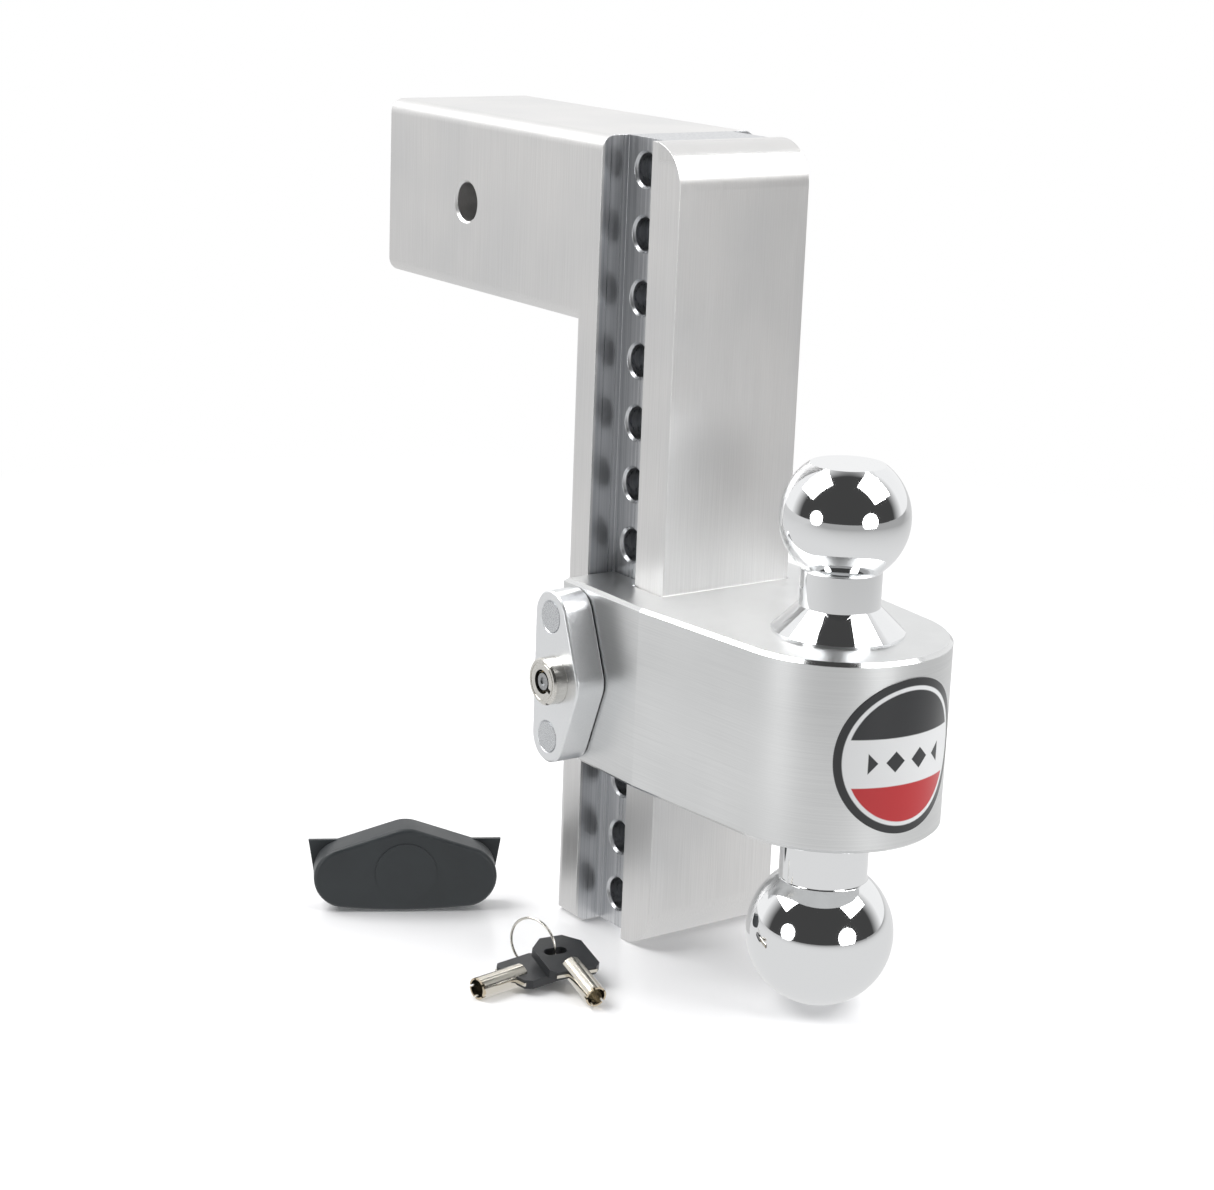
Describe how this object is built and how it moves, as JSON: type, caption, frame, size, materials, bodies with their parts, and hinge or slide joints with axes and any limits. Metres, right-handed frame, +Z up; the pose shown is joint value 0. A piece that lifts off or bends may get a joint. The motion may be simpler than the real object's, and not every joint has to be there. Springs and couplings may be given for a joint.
{
  "type": "trailer hitch ball mount",
  "caption": "Adjustable drop hitch: square shank on an upright drilled bar, and a pinned sliding block with a ball above and a ball below, plus its lock, dust cap and keys.",
  "frame": {"origin": "centre of the hitch-pin hole in the shank", "axes": "+X from the shank towards the balls and the trailer, +Z up, the lock and its keys on the -Y side"},
  "size_m": [0.3233, 0.1788, 0.332],
  "materials": {
    "drawbar": "brushed",
    "block": "satin machined",
    "ball_chrome": "polished",
    "badge": "printed",
    "plate": "satin machined",
    "pins": "ground",
    "lock_nickel": "nickel plated",
    "lock_steel": "turned",
    "lock_brass": "turned",
    "cap_rubber": "matte",
    "key_nickel": "nickel plated",
    "key_plastic": "moulded"
  },
  "bodies": {
    "drawbar": {"drawbar": "drawbar"},
    "ball_mount": {"ball_mount_block": "block", "top_ball": "ball_chrome", "bottom_ball": "ball_chrome", "nose_badge": "badge"},
    "pin_set": {"lock_plate": "plate", "upper_pin": "pins", "lower_pin": "pins", "lock_housing": "lock_nickel", "lock_stator": "lock_brass", "driver_pins": "lock_brass", "tumbler_springs": "lock_steel", "stator_pin": "lock_steel", "lock_clip": "lock_steel"},
    "lock_barrel": {"lock_spindle": "lock_steel", "key_pins": "lock_brass", "lock_cam": "lock_steel", "cam_screw": "lock_steel"},
    "dust_cap": {"dust_cap": "cap_rubber"},
    "keys": {"left_key_tube": "key_nickel", "left_key_head": "key_plastic", "right_key_tube": "key_nickel", "right_key_head": "key_plastic", "key_ring": "key_nickel"}
  },
  "joints": [
    {"name": "height_slide", "type": "slide", "parent": "drawbar", "child": "ball_mount", "axis": [0, 0, 1], "range_m": [0, 0.1524]},
    {"name": "pin_pull", "type": "slide", "parent": "ball_mount", "child": "pin_set", "axis": [0, -1, 0], "range_m": [0, 0.104]},
    {"name": "lock_turn", "type": "hinge", "parent": "pin_set", "child": "lock_barrel", "pos_m": [0.1163, -0.07, -0.1778], "axis": [0, 1, 0], "range_deg": [0, 90]},
    {"name": "cap_lift", "type": "slide", "parent": "drawbar", "child": "dust_cap", "axis": [0, 0, 1], "range_m": [0, 0.06]},
    {"name": "keys_lift", "type": "slide", "parent": "drawbar", "child": "keys", "axis": [0, 0, 1], "range_m": [0, 0.06]}
  ]
}
